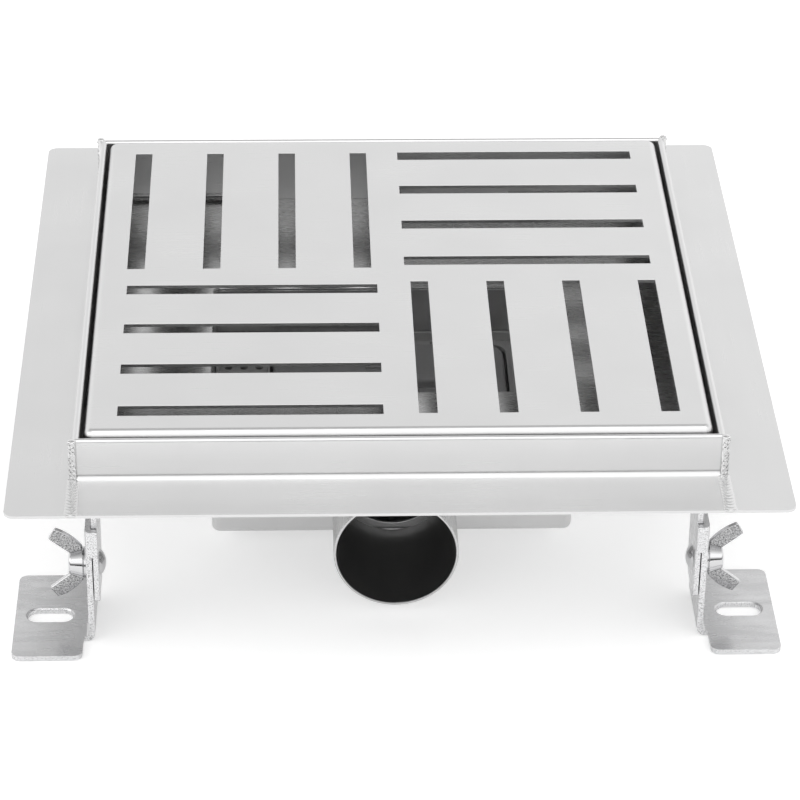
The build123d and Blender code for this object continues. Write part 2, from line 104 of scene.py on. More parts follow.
# Depths of relief: brush marks, smooth skins, zinc grain, sheared edges, casting pits, moulded grain.
SCRATCH_DEPTH, SKIN_DEPTH, SPANGLE_DEPTH = 0.00001, 0.00002, 0.00003
TEAR_DEPTH, PIT_DEPTH, MOULD_DEPTH = 0.00012, 0.0001, 0.00004


def srgb(hex_colour):
    """Linear red, green and blue of an sRGB hex colour."""
    parts = [int(hex_colour[i:i + 2], 16) / 255 for i in (1, 3, 5)]
    return [c / 12.92 if c <= 0.04045 else ((c + 0.055) / 1.055) ** 2.4 for c in parts]


def length(name, description, millimetres):
    """Length property, given in millimetres and kept in metres."""
    return FloatProperty(name=name, description=description, default=millimetres / 1000, min=0.0,
                         unit="LENGTH", precision=5)


def colour(name, description, hex_colour):
    """Colour property, given as sRGB hex and kept linear."""
    return FloatVectorProperty(name=name, description=description, default=srgb(hex_colour), size=3,
                               min=0.0, max=1.0, subtype="COLOR")


class DrainSizes(bpy.types.PropertyGroup):
    """Sizes of the details that the dressing adds."""

    edge_round: length("Sheet edge", "Rounding of the cut edges of sheet metal", 0.22)
    punch_round: length("Punched edge", "Rounding of the grate's punched slots", 0.35)
    mould_round: length("Moulded edge", "Rounding of the edges of moulded pieces", 0.4)
    bead_radius: length("Corner bead radius", "Radius of the weld beads up the corners", 1.6)
    bead_pitch: length("Corner bead pitch", "Distance between ripples of a corner bead", 2.1)
    seam_width: length("Seam width", "Width of the weld seams across the flange", 4.9)
    seam_height: length("Seam height", "Crown of the seams above the flange", 0.28)
    seam_pitch: length("Seam pitch", "Distance between ripples of a seam", 2.0)
    collar_radius: length("Collar radius", "Leg of the weld round the outlet", 1.5)
    tack_radius: length("Tack radius", "Leg of the welds that hold the hangers", 1.2)
    tack_length: length("Tack length", "Length of the welds that hold the hangers", 13.0)
    thread_pitch: length("Thread pitch", "Pitch of the clamp bolts' thread", 1.0)
    thread_depth: length("Thread depth", "Depth of the clamp bolts' thread", 0.5)
    wing_thickness: length("Wing thickness", "Thickness of the wing nuts' wings", 2.2)
    wing_reach: length("Wing reach", "How far the wings flare out from the washer", 14.0)
    wing_rise: length("Wing rise", "Distance of the wings' tips from the bolt's axis", 16.2)
    grain_width: length("Grain width", "Width of the brush marks, drawn coarse enough to show", 0.45)
    grain_length: length("Grain length", "Length of the brush marks", 45.0)
    cloud_size: length("Cloud size", "Size of the soft unevenness of rolled sheet", 35.0)
    pit: length("Casting pit", "Size of the pits on the wings, drawn coarse enough to show", 0.42)
    spangle: length("Zinc grain", "Size of the zinc plating's grain", 0.5)
    mould_grain: length("Mould grain", "Size of the moulded plastic's fine grain", 0.6)


class DrainColours(bpy.types.PropertyGroup):
    """Colours of the finishes."""

    stainless: colour("Stainless", "Brushed stainless sheet", "#E0E0E0")
    # The tray's colour: greyer for the 2B finish, and darker still as painted shade for the drain's shaded
    # inside.
    mill: colour("Mill finish", "Unbrushed stainless of the tray", "#CACACA")
    # The sump's colour, painted lighter than the brushed sheet: painted light, making up for the shade that
    # its front reflects.
    drawn: colour("Drawn finish", "Deep drawn stainless of the sump", "#E2E2E2")
    weld: colour("Weld", "Weld beads", "#DCDCDC")
    tube: colour("Tube", "Stainless outlet tube", "#CFCFCF")
    zinc: colour("Zinc", "Zinc plating", "#D6D6D7")
    zinc_pit: colour("Zinc pits", "Pits and dull streaks in cast zinc", "#6A6A6B")
    trap: colour("Trap", "Moulded polypropylene of the trap", "#B4B4B4")
    bell: colour("Bell", "Moulded polypropylene of the bell", "#9E9E9F")
    gasket: colour("Gasket", "Black rubber", "#1B1B1C")
    ground: colour("Ground", "Floor and backdrop", "#FFFFFF")


# ---- Meshes -----------------------------------------------------------------------------------------

def grid_faces(rows, columns, wrap_rows, wrap_columns):
    """Quads of a grid of points numbered row by row; a wrapped side joins its last line to its first."""
    i = np.arange(rows if wrap_rows else rows - 1)
    j = np.arange(columns if wrap_columns else columns - 1)
    i, j = np.meshgrid(i, j, indexing="ij")
    next_i, next_j = (i + 1) % rows, (j + 1) % columns
    corners = [i * columns + j, next_i * columns + j, next_i * columns + next_j, i * columns + next_j]
    return np.stack(corners, -1).reshape(-1, 4)


def join_level_faces(work, cuts):
    """Joins level triangles into whole faces. Cuts through every hole, given as (axis, place), are kept, so
    that no whole face has a hole in it."""
    level_degrees = 0.3
    for axis, at in cuts:
        normal = Vector((axis == 0, axis == 1, axis == 2))
        geometry = work.verts[:] + work.edges[:] + work.faces[:]
        cut = bmesh.ops.bisect_plane(work, geom=geometry, dist=MERGE_SURFACE, plane_co=normal * at,
                                     plane_no=normal)
        for item in cut["geom_cut"]:
            if isinstance(item, bmesh.types.BMEdge):
                item.seam = True
    bmesh.ops.dissolve_limit(work, angle_limit=math.radians(level_degrees), verts=work.verts,
                             edges=work.edges, use_dissolve_boundaries=False, delimit={"SEAM"})


def finish_mesh(mesh, merge, sharp_degrees, cuts=()):
    """Merges doubles, joins level faces where cuts are given, and turns the faces outwards."""
    work = bmesh.new()
    work.from_mesh(mesh)
    bmesh.ops.remove_doubles(work, verts=work.verts, dist=merge)
    if cuts:
        join_level_faces(work, cuts)
    bmesh.ops.recalc_face_normals(work, faces=work.faces)
    work.to_mesh(mesh)
    work.free()
    if "custom_normal" in mesh.attributes:
        mesh.attributes.remove(mesh.attributes["custom_normal"])
    mesh.shade_smooth()
    mesh.set_sharp_from_angle(angle=math.radians(sharp_degrees))


def place(name, mesh, material, body, replaces=()):
    """Links a finished mesh as a piece that rides on a body."""
    piece = bpy.data.objects.new(name, mesh)
    bpy.context.scene.collection.objects.link(piece)
    mesh.materials.clear()
    mesh.materials.append(material)
    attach(piece, body)
    if replaces:
        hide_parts(*replaces)
    return piece


def surface_piece(name, surfaces, material, body, replaces=(), sharp_degrees=35):
    """Piece from grids of points; each surface is (points, wrap rows, wrap columns)."""
    points, faces, first = [], [], 0
    for grid, wrap_rows, wrap_columns in surfaces:
        rows, columns = grid.shape[:2]
        points.append(grid.reshape(-1, 3))
        faces.append(grid_faces(rows, columns, wrap_rows, wrap_columns) + first)
        first += rows * columns
    mesh = bpy.data.meshes.new(name)
    mesh.from_pydata(np.concatenate(points).tolist(), [], np.concatenate(faces).tolist())
    finish_mesh(mesh, MERGE_SURFACE, sharp_degrees)
    return place(name, mesh, material, body, replaces)


def softened_piece(node, name, material, width, segments=2, more_cuts=()):
    """Piece from a merged copy of a CAD piece's mesh, whose sharp edges get a small live rounding."""
    sharp_degrees = 40
    source = frame["nodes"][node]
    mesh = source.data.copy()
    mesh.name = name
    middle = sum(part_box(node), Vector()) / 2
    finish_mesh(mesh, MERGE_SOLID, sharp_degrees, [*enumerate(middle), *more_cuts])
    piece = place(name, mesh, material, source["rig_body"], [node])
    bevel = piece.modifiers.new("edge rounding", "BEVEL")
    bevel.width = width
    bevel.segments = segments
    bevel.limit_method = "ANGLE"
    bevel.angle_limit = math.radians(sharp_degrees)
    bevel.miter_outer = "MITER_ARC"
    weights = piece.modifiers.new("flat faces", "WEIGHTED_NORMAL")
    weights.keep_sharp = True
    return piece


def scatter(number):
    """Repeatable value from 0 to 1 for each whole number."""
    value = np.sin(number * 12.9898 + 4.1) * 43758.5453
    return value - np.floor(value)


def ripple(turns, fullness=0.6):
    """Rise of a rippled bead, one scale per unit: an arch of |sin| to the power of the fullness, each scale
    with its own height. Below 1 the scales are full and the valleys narrow, above 1 the valleys are wide."""
    scale = np.floor(turns)
    return np.abs(np.sin(np.pi * (turns - scale))) ** fullness * (0.65 + 0.35 * scatter(scale))


def corner_beads(side_x, side_y, sizes):
    """Surfaces of one corner's weld.

    The upright bead is a tube round the corner's edge: radius = bead radius x (1 + 0.38 (ripple(height /
    pitch + slant) - 0.35) outwards), closed by round ends. The seam is a lens from the corner to the
    flange's edge: height = crown x sin(angle)^0.8 x (0.5 + 0.5 ripple(distance / pitch + bow)), over a
    root that goes 0.8 of the way down to the bead's foot."""
    z = np.linspace(BEAD_FOOT + 0.0002, BEAD_TOP + 0.0003, 130)[:, None]
    angle = np.linspace(0, 2 * np.pi, 40, endpoint=False)[None, :]
    outward = np.clip((np.cos(angle) + np.sin(angle)) / math.sqrt(2), 0, 1)
    slant = 1.1 * np.sin(angle - np.pi / 4)
    rise = ripple((z - BEAD_FOOT) / sizes.bead_pitch + slant, 1.1)
    sway = 0.00012 * np.sin(z * 900) + 0.00008 * np.sin(z * 2300 + 1)
    cap = np.sqrt(np.clip(1 - ((z - z[0]) / (z[-1] - z[0]) * 2 - 1) ** 40, 0, 1))
    radius = sizes.bead_radius * (1 + 0.38 * outward * (rise - 0.35)) * cap
    x = UPSTAND_HALF + radius * np.cos(angle) + sway * outward
    y = UPSTAND_HALF + radius * np.sin(angle) - sway * outward
    upright = np.stack(np.broadcast_arrays(side_x * x, side_y * y, z), -1)

    along = np.linspace(UPSTAND_HALF + 0.0004, FLANGE_HALF - 0.00002, 190)[:, None]
    angle = np.linspace(0, 2 * np.pi, 48, endpoint=False)[None, :]
    across = np.cos(angle)
    turns = (along - UPSTAND_HALF) / sizes.seam_pitch + 0.7 * across ** 2 + 0.08 * np.sin(along * 1900)
    spread = 1 + 0.22 * np.clip((along - FLANGE_HALF + 0.004) / 0.004, 0, 1) ** 2
    half = sizes.seam_width / 2 * spread * (0.97 + 0.06 * ripple(turns + 0.3))
    crown = sizes.seam_height * np.clip(np.sin(angle), 0, 1) ** 0.8 * (0.5 + 0.5 * ripple(turns))
    root = (FLANGE_TOP - BEAD_FOOT) * 0.8 * np.clip(-np.sin(angle), 0, 1)
    ends = np.ones_like(along)
    ends[0] = ends[-1] = 0
    x = UPSTAND_HALF + half * across * ends
    z = FLANGE_TOP + (crown - root) * ends
    seam = np.stack(np.broadcast_arrays(side_x * x, side_y * along, z), -1)
    return [(upright, False, True), (seam, False, True)]


def fillet_bead(path, side_a, side_b, distance, radius, pitch, closed):
    """Surface of a rippled bead in the corner between two faces.

    At each point of the path the section is (a, b) = leg x (max(sin, -0.35), max(cos, -0.35)) along the two
    sides, and leg = radius x (0.85 + 0.2 ripple(distance / pitch)). Open ends shrink to a point."""
    angle = np.linspace(0, 2 * np.pi, 20, endpoint=False)[None, :, None]
    leg = radius * (0.85 + 0.2 * ripple(distance / pitch))[:, None, None]
    if not closed:
        share = (distance - distance[0]) / (distance[-1] - distance[0]) * 2 - 1
        leg = leg * np.sqrt(np.clip(1 - share ** 12, 0, 1))[:, None, None]
    a = leg * np.maximum(np.sin(angle), -0.35)
    b = leg * np.maximum(np.cos(angle), -0.35)
    return path[:, None, :] + a * side_a[:, None, :] + b * side_b[:, None, :], closed, True


def turned(profile, steps, side_x, centre):
    """Surface of a closed profile of (distance along the axis, radius) turned round an axis along X."""
    angle = np.linspace(0, 2 * np.pi, steps, endpoint=False)[:, None]
    along, radius = profile[:, 0][None, :], profile[:, 1][None, :]
    x = centre[0] + side_x * along + 0 * angle
    y = centre[1] + radius * np.cos(angle)
    z = centre[2] + radius * np.sin(angle)
    return np.stack([x, y, z], -1), True, True


def rounded_section(half_a, half_b, radius, steps=4):
    """Closed rounded rectangle: each corner is a quarter turn of the radius round its own centre."""
    turn = np.concatenate([np.linspace(k, k + 1, steps + 1) for k in range(4)]) * (np.pi / 2)
    sign_a = np.repeat([1, -1, -1, 1], steps + 1)
    sign_b = np.repeat([1, 1, -1, -1], steps + 1)
    a = sign_a * (half_a - radius) + radius * np.cos(turn)
    b = sign_b * (half_b - radius) + radius * np.sin(turn)
    return a, b


def arc_points(centre, radius, start, end, steps):
    """Points of an arc between two angles in degrees."""
    turn = np.radians(np.linspace(start, end, steps))
    return np.stack([centre[0] + radius * np.cos(turn), centre[1] + radius * np.sin(turn)], -1)


# ---- Node trees -------------------------------------------------------------------------------------

def add(tree, kind, inputs=(), take=None, **settings):
    """Adds a node with its settings and links: inputs, in order or by name, are values or other nodes'
    outputs. Returns the output named by take, or the node."""
    made = tree.nodes.new(kind)
    for name, value in settings.items():
        setattr(made, name, value)
    for key, value in inputs.items() if isinstance(inputs, dict) else enumerate(inputs):
        if isinstance(value, bpy.types.NodeSocket):
            tree.links.new(value, made.inputs[key])
        else:
            made.inputs[key].default_value = value
    return made.outputs[take] if take else made


def new_material(name):
    """Empty material; returns the material and its tree."""
    material = bpy.data.materials.new(name)
    material.use_nodes = True
    material.node_tree.nodes.clear()
    return material, material.node_tree


def finish_surface(tree, base, roughness, normal, metallic=1.0, **more):
    """Principled surface joined to the material's output."""
    inputs = {"Base Color": base, "Roughness": roughness, "Normal": normal, "Metallic": metallic, **more}
    surface = add(tree, "ShaderNodeBsdfPrincipled", inputs, "BSDF")
    add(tree, "ShaderNodeOutputMaterial", {"Surface": surface})


def shade(rgb, factor=1.0):
    """Opaque colour, made darker or lighter by a factor."""
    return (*[c * factor for c in rgb], 1.0)


def grain_pattern(tree, size, detail=2.0, stretch=(1.0, 1.0, 1.0), roughness=0.5, slope=0.0, at=None):
    """Noise in features of a real size on object coordinates, lengthened along each axis by stretch after a
    turn about Y by the slope."""
    at = at or add(tree, "ShaderNodeTexCoord", take="Object")
    mapped = add(tree, "ShaderNodeMapping", {"Vector": at, "Rotation": (0.0, -slope, 0.0),
                                             "Scale": tuple(size * s for s in stretch)}, "Vector",
                 vector_type="TEXTURE")
    return add(tree, "ShaderNodeTexNoise", {"Vector": mapped, "Scale": 1.0, "Detail": detail,
                                            "Roughness": roughness}, "Fac")


def faces_along(tree, axis, low, high):
    """1 where the surface faces along an axis, either way, and 0 where it doesn't."""
    normal = add(tree, "ShaderNodeTexCoord", take="Normal")
    part = add(tree, "ShaderNodeSeparateXYZ", [normal], axis)
    size = add(tree, "ShaderNodeMath", [part], "Value", operation="ABSOLUTE")
    return add(tree, "ShaderNodeMapRange", [size, low, high, 0.0, 1.0], "Result")


def brushed_stainless(name, along_x, rgb, sizes):
    """Stainless sheet, AISI 304, belt-brushed: long fine scratches one way, a satin gloss that blurs
    reflections, and soft clouds left by rolling."""
    material, tree = new_material(name)
    ratio = sizes.grain_length / sizes.grain_width
    stretch = (ratio, 1.0, 1.0) if along_x else (1.0, ratio, 1.0)
    grain = grain_pattern(tree, sizes.grain_width, 3.0, stretch, 0.6)
    clouds = grain_pattern(tree, sizes.cloud_size)
    patches = add(tree, "ShaderNodeMapRange", [clouds, *NOISE_RANGE, 0.0, 0.35], "Result")
    tone = add(tree, "ShaderNodeMix", {"Factor": grain, "A": shade(rgb, 0.97), "B": shade(rgb, 1.02)},
               "Result", data_type="RGBA")
    tone = add(tree, "ShaderNodeMix", {"Factor": patches, "A": tone, "B": shade(rgb, 0.96)}, "Result",
               data_type="RGBA")
    gloss = add(tree, "ShaderNodeMapRange", [grain, *NOISE_RANGE, 0.27, 0.34], "Result")
    haze = add(tree, "ShaderNodeMapRange", [clouds, *NOISE_RANGE, 0.95, 1.08], "Result")
    gloss = add(tree, "ShaderNodeMath", [gloss, haze], "Value", operation="MULTIPLY")
    relief = add(tree, "ShaderNodeBump", {"Strength": 0.3, "Distance": SCRATCH_DEPTH, "Height": grain},
                 "Normal")
    finish_surface(tree, tone, gloss, relief)
    return material


def mill_stainless(name, sizes, rgb, roughness):
    """Stainless sheet, AISI 304 in its rolled 2B finish: an even gloss and soft clouds, in the colour it is
    given. The tray's colour is greyer than brushed sheet, partly for the 2B finish and partly as painted
    shade. The sump's is lighter, as painted light. Deep drawing leaves it duller."""
    material, tree = new_material(name)
    fine = grain_pattern(tree, sizes.grain_width * 2, 3.0, (6.0, 1.0, 1.0))
    clouds = grain_pattern(tree, sizes.cloud_size, 3.0)
    patches = add(tree, "ShaderNodeMapRange", [clouds, *NOISE_RANGE, 0.0, 1.0], "Result")
    tone = add(tree, "ShaderNodeMix", {"Factor": patches, "A": shade(rgb, 0.93), "B": shade(rgb, 1.04)},
               "Result", data_type="RGBA")
    gloss = add(tree, "ShaderNodeMapRange", [fine, *NOISE_RANGE, roughness - 0.02, roughness + 0.05],
                "Result")
    relief = add(tree, "ShaderNodeBump", {"Strength": 0.12, "Distance": SCRATCH_DEPTH, "Height": fine},
                 "Normal")
    finish_surface(tree, tone, gloss, relief)
    return material


def tube_stainless(sizes, rgb):
    """Welded stainless tube, drawn: fine marks along the tube, a brighter gloss than sheet outside, and a
    duller bore whose colour is painted dark, as painted shade inside the tube."""
    material, tree = new_material("stainless_tube_drawn")
    marks = grain_pattern(tree, sizes.grain_width, 3.0, (1.0, 60.0, 1.0), 0.6)
    at = add(tree, "ShaderNodeTexCoord", take="Object")
    centred = add(tree, "ShaderNodeMapping", {"Vector": at, "Location": (0.0, 0.0, -PIPE_Z),
                                              "Scale": (1.0, 0.0, 1.0)}, "Vector")
    radius = add(tree, "ShaderNodeVectorMath", [centred], "Value", operation="LENGTH")
    inside, outside = PIPE_R - 0.0011, PIPE_R - 0.0008
    # Painted shade: inside the tube the colour is darkened to 0.38 of the steel's, and the bore is also made
    # rougher.
    bore = add(tree, "ShaderNodeMapRange", [radius, inside, outside, 1.0, 0.0], "Result")
    tone = add(tree, "ShaderNodeMix", {"Factor": marks, "A": shade(rgb, 0.96), "B": shade(rgb, 1.03)},
               "Result", data_type="RGBA")
    tone = add(tree, "ShaderNodeMix", {"Factor": bore, "A": tone, "B": shade(rgb, 0.38)}, "Result",
               data_type="RGBA")
    gloss = add(tree, "ShaderNodeMapRange", [marks, *NOISE_RANGE, 0.24, 0.30], "Result")
    gloss = add(tree, "ShaderNodeMix", {"Factor": bore, "A": gloss, "B": 0.42}, "Result", data_type="FLOAT")
    relief = add(tree, "ShaderNodeBump", {"Strength": 0.2, "Distance": SCRATCH_DEPTH, "Height": marks},
                 "Normal")
    finish_surface(tree, tone, gloss, relief)
    return material


def weld_metal(rgb):
    """Pickled stainless weld: bright and smooth on its crests, with a faint uneven skin."""
    material, tree = new_material("stainless_weld_pickled")
    skin_size = 0.0013
    skin = grain_pattern(tree, skin_size, 2.0)
    tone = add(tree, "ShaderNodeMix", {"Factor": skin, "A": shade(rgb, 0.95), "B": shade(rgb, 1.06)},
               "Result", data_type="RGBA")
    gloss = add(tree, "ShaderNodeMapRange", [skin, *NOISE_RANGE, 0.15, 0.21], "Result")
    relief = add(tree, "ShaderNodeBump", {"Strength": 0.3, "Distance": SKIN_DEPTH, "Height": skin}, "Normal")
    finish_surface(tree, tone, gloss, relief)
    return material


def zinc_plate(sizes, rgb):
    """Pressed steel, bright zinc plated: pale grey with a fine crystalline grain and faint streaks of
    rolling. The cut edges, which face front and rear, are speckled and rough from the shears, and painted
    brighter than the faces: a painted highlight."""
    material, tree = new_material("steel_zinc_plated_pressed")
    streak_size = 0.004
    grain = grain_pattern(tree, sizes.spangle, 5.0, roughness=0.7)
    streaks = grain_pattern(tree, streak_size, 3.0, (5.0, 1.0, 1.0))
    tears = grain_pattern(tree, sizes.spangle * 0.7, 2.0, (1.0, 3.0, 1.0))
    # Cut edges facing front and rear: below they get real shear speckle, and they are painted brighter than
    # the faces, a painted highlight.
    edge = faces_along(tree, "Y", 0.6, 0.75)
    sparkle = add(tree, "ShaderNodeMapRange", [grain, *NOISE_RANGE, 0.0, 1.0], "Result")
    streak = add(tree, "ShaderNodeMapRange", [streaks, 0.35, 0.7, 0.0, 0.3], "Result")
    torn = add(tree, "ShaderNodeMapRange", [tears, 0.35, 0.5, 0.0, 1.0], "Result")
    tone = add(tree, "ShaderNodeMix", {"Factor": sparkle, "A": shade(rgb, 0.88), "B": shade(rgb, 1.04)},
               "Result", data_type="RGBA")
    tone = add(tree, "ShaderNodeMix", {"Factor": streak, "A": tone, "B": shade(rgb, 0.8)}, "Result",
               data_type="RGBA")
    # Speckle of the cut edges, from 0.55 to 1.22 of the colour: the speckle is real, and the lift above the
    # faces' colour is a painted highlight.
    torn = add(tree, "ShaderNodeMix", {"Factor": torn, "A": shade(rgb, 0.55), "B": shade(rgb, 1.22)},
               "Result", data_type="RGBA")
    tone = add(tree, "ShaderNodeMix", {"Factor": edge, "A": tone, "B": torn}, "Result", data_type="RGBA")
    gloss = add(tree, "ShaderNodeMapRange", [streaks, *NOISE_RANGE, 0.2, 0.32], "Result")
    relief = add(tree, "ShaderNodeBump", {"Strength": 0.3, "Distance": SPANGLE_DEPTH, "Height": grain},
                 "Normal")
    height = add(tree, "ShaderNodeMath", [tears, edge], "Value", operation="MULTIPLY")
    relief = add(tree, "ShaderNodeBump", {"Strength": 0.5, "Distance": TEAR_DEPTH, "Height": height,
                                          "Normal": relief}, "Normal")
    finish_surface(tree, tone, gloss, relief)
    return material


def zinc_bolt(rgb):
    """Cold-headed steel, bright zinc plated: smooth and shiny, with a little haze."""
    material, tree = new_material("steel_zinc_plated_bolt")
    haze_size = 0.003
    haze = grain_pattern(tree, haze_size, 3.0)
    tone = add(tree, "ShaderNodeMix", {"Factor": haze, "A": shade(rgb, 0.86), "B": shade(rgb, 1.05)},
               "Result", data_type="RGBA")
    gloss = add(tree, "ShaderNodeMapRange", [haze, *NOISE_RANGE, 0.12, 0.26], "Result")
    relief = add(tree, "ShaderNodeBump", {"Strength": 0.1, "Distance": SKIN_DEPTH, "Height": haze}, "Normal")
    finish_surface(tree, tone, gloss, relief)
    return material


def zinc_cast(sizes, rgb, pit_rgb):
    """Cast zinc alloy, zinc plated: a bright polished hub and edges, and wing faces left rough from the
    mould, with dull streaks and small pits along the wings."""
    material, tree = new_material("zinc_alloy_cast_plated")
    at = add(tree, "ShaderNodeTexCoord", take="Object")
    centred = add(tree, "ShaderNodeMapping", {"Vector": at, "Location": (0.0, 0.0, -NUT_AXIS_Z)}, "Vector")
    folded = add(tree, "ShaderNodeVectorMath", [centred], "Vector", operation="ABSOLUTE")
    pits = grain_pattern(tree, sizes.pit, 4.0, (1.6, 1.0, 1.0), 0.7, WING_SLOPE, folded)
    streaks = grain_pattern(tree, sizes.pit * 1.8, 2.0, (9.0, 1.0, 1.0), 0.5, WING_SLOPE, folded)
    across = add(tree, "ShaderNodeSeparateXYZ", [folded], "Y")
    offset = add(tree, "ShaderNodeMath", [across, NUT_AXIS_Y], "Value", operation="SUBTRACT")
    offset = add(tree, "ShaderNodeMath", [offset], "Value", operation="ABSOLUTE")
    wing = add(tree, "ShaderNodeMapRange", [offset, sizes.wing_thickness * 0.6, sizes.wing_thickness * 0.7,
                                            1.0, 0.0], "Result")
    face = add(tree, "ShaderNodeMath", [faces_along(tree, "Y", 0.85, 0.97), wing], "Value",
               operation="MULTIPLY")
    spots = add(tree, "ShaderNodeMapRange", [pits, 0.42, 0.58, 0.0, 1.0], "Result")
    bands = add(tree, "ShaderNodeMapRange", [streaks, 0.42, 0.58, 0.1, 0.4], "Result")
    rough = add(tree, "ShaderNodeMath", [spots, bands], "Value", operation="MAXIMUM")
    mask = add(tree, "ShaderNodeMath", [rough, face], "Value", operation="MULTIPLY")
    tone = add(tree, "ShaderNodeMix", {"Factor": mask, "A": shade(rgb), "B": shade(pit_rgb)}, "Result",
               data_type="RGBA")
    gloss = add(tree, "ShaderNodeMapRange", [mask, 0.0, 1.0, 0.1, 0.45], "Result")
    height = add(tree, "ShaderNodeMath", [pits, face], "Value", operation="MULTIPLY")
    relief = add(tree, "ShaderNodeBump", {"Strength": 0.6, "Distance": PIT_DEPTH, "Height": height}, "Normal")
    finish_surface(tree, tone, gloss, relief)
    return material


def polypropylene(name, sizes, rgb):
    """Polypropylene, injection moulded: waxy grey, soft broad gloss, a fine even spark-eroded grain."""
    material, tree = new_material(name)
    grain = grain_pattern(tree, sizes.mould_grain, 3.0)
    flow_size = 0.03
    flow = grain_pattern(tree, flow_size, 2.0, (1.0, 3.0, 1.0))
    tone = add(tree, "ShaderNodeMix", {"Factor": flow, "A": shade(rgb, 0.9), "B": shade(rgb, 1.08)}, "Result",
               data_type="RGBA")
    gloss = add(tree, "ShaderNodeMapRange", [grain, *NOISE_RANGE, 0.38, 0.5], "Result")
    relief = add(tree, "ShaderNodeBump", {"Strength": 0.35, "Distance": MOULD_DEPTH, "Height": grain},
                 "Normal")
    finish_surface(tree, tone, gloss, relief, metallic=0.0, IOR=1.49)
    return material


def rubber(sizes, rgb):
    """EPDM rubber, moulded: near black and matt."""
    material, tree = new_material("rubber_epdm_moulded")
    grain = grain_pattern(tree, sizes.mould_grain, 3.0)
    tone = add(tree, "ShaderNodeMix", {"Factor": grain, "A": shade(rgb, 0.8), "B": shade(rgb, 1.3)}, "Result",
               data_type="RGBA")
    gloss = add(tree, "ShaderNodeMapRange", [grain, *NOISE_RANGE, 0.6, 0.75], "Result")
    relief = add(tree, "ShaderNodeBump", {"Strength": 0.4, "Distance": MOULD_DEPTH, "Height": grain},
                 "Normal")
    finish_surface(tree, tone, gloss, relief, metallic=0.0, IOR=1.52)
    return material


# ---- Operators --------------------------------------------------------------------------------------

class DressOperator:
    """What every operator here shares: its settings."""

    bl_options = {"REGISTER", "UNDO"}

    def settings(self, context):
        """The scene's sizes and colours."""
        return context.scene.drain_sizes, context.scene.drain_colours


class DRAIN_OT_frame(DressOperator, bpy.types.Operator):
    """Frame strips with flange, upstand and hem, brushed along their length"""

    bl_idname = "drain.frame"
    bl_label = "Flanged frame"

    def execute(self, context):
        sizes, colours = self.settings(context)
        for side in ("front", "rear", "left", "right"):
            along_x = side in ("front", "rear")
            material = brushed_stainless(f"stainless_304_brushed_{side}", along_x, colours.stainless, sizes)
            softened_piece(f"flange_{side}", f"frame_{side}", material, sizes.edge_round)
        return {"FINISHED"}


class DRAIN_OT_grate(DressOperator, bpy.types.Operator):
    """Grate with softened slot edges"""

    bl_idname = "drain.grate"
    bl_label = "Grate"

    def execute(self, context):
        sizes, colours = self.settings(context)
        material = brushed_stainless("stainless_304_brushed_grate", True, colours.stainless, sizes)
        slot_middle = UPSTAND_HALF * 0.45
        through_slots = [(axis, side * slot_middle) for axis in (0, 1) for side in (-1, 1)]
        softened_piece("grate_cover", "grate", material, sizes.punch_round,
                       more_cuts=through_slots)
        return {"FINISHED"}


class DRAIN_OT_tray(DressOperator, bpy.types.Operator):
    """Tray and sump in rolled stainless"""

    bl_idname = "drain.tray"
    bl_label = "Tray and sump"

    def execute(self, context):
        sizes, colours = self.settings(context)
        # Painted shade: the tray's steel is set darker than the sheet's own colour.
        rolled = mill_stainless("stainless_2b_rolled_painted_shade", sizes, colours.mill, roughness=0.26)
        # Painted light: the sump's colour is set lighter than the same sheet in the tray.
        drawn = mill_stainless("stainless_2b_drawn_painted_light", sizes, colours.drawn, roughness=0.34)
        softened_piece("tray_pan", "tray", rolled, sizes.edge_round)
        softened_piece("sump_box", "sump", drawn, sizes.edge_round)
        return {"FINISHED"}


class DRAIN_OT_welds(DressOperator, bpy.types.Operator):
    """Rippled beads: corners of the frame, collar of the outlet, and the hangers' tabs"""

    bl_idname = "drain.welds"
    bl_label = "Weld beads"

    def execute(self, context):
        sizes, colours = self.settings(context)
        material = weld_metal(colours.weld)
        for corner, (side_x, side_y) in CORNERS.items():
            surface_piece(f"corner_weld_{corner}", corner_beads(side_x, side_y, sizes), material, "drain",
                          ["corner_welds"], sharp_degrees=50)
            self.hanger_welds(corner, material, sizes)
        steps = 900
        angle = np.linspace(0, 2 * np.pi, steps, endpoint=False)
        radial = np.stack([np.cos(angle), 0 * angle, np.sin(angle)], -1)
        path = radial * PIPE_R + np.array([0, PIPE_ROOT_Y, PIPE_Z])
        outward = np.tile([0.0, -1.0, 0.0], (len(angle), 1))
        ripples = round(2 * np.pi * PIPE_R / sizes.bead_pitch)
        pitch = 2 * np.pi * PIPE_R / ripples
        collar = fillet_bead(path, radial, outward, angle * PIPE_R, sizes.collar_radius, pitch, True)
        surface_piece("outlet_collar_weld", [collar], material, "drain", ["outlet_weld"],
                      sharp_degrees=50)
        return {"FINISHED"}

    def hanger_welds(self, corner, material, sizes):
        """Two short beads along the tab of a hanger, in the corner with the tray's underside."""
        low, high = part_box(f"hanger_{corner}")
        middle = (low.x + high.x) / 2
        steps = 110
        along = np.linspace(-sizes.tack_length / 2, sizes.tack_length / 2, steps)
        down = np.tile([0.0, 0.0, -1.0], (len(along), 1))
        surfaces = []
        for y, direction in ((low.y, -1.0), (high.y, 1.0)):
            path = np.stack([middle + along, 0 * along + y, 0 * along + TRAY_UNDER], -1)
            sideways = np.tile([0.0, direction, 0.0], (len(along), 1))
            surfaces.append(fillet_bead(path, sideways, down, along + direction, sizes.tack_radius,
                                        sizes.bead_pitch, False))
        surface_piece(f"hanger_weld_{corner}", surfaces, material, "drain", sharp_degrees=50)


class DRAIN_OT_outlet(DressOperator, bpy.types.Operator):
    """Outlet tube with softened rims"""

    bl_idname = "drain.outlet"
    bl_label = "Outlet tube"

    def execute(self, context):
        sizes, colours = self.settings(context)
        material = tube_stainless(sizes, colours.tube)
        softened_piece("outlet_pipe", "outlet_tube", material, sizes.edge_round)
        return {"FINISHED"}


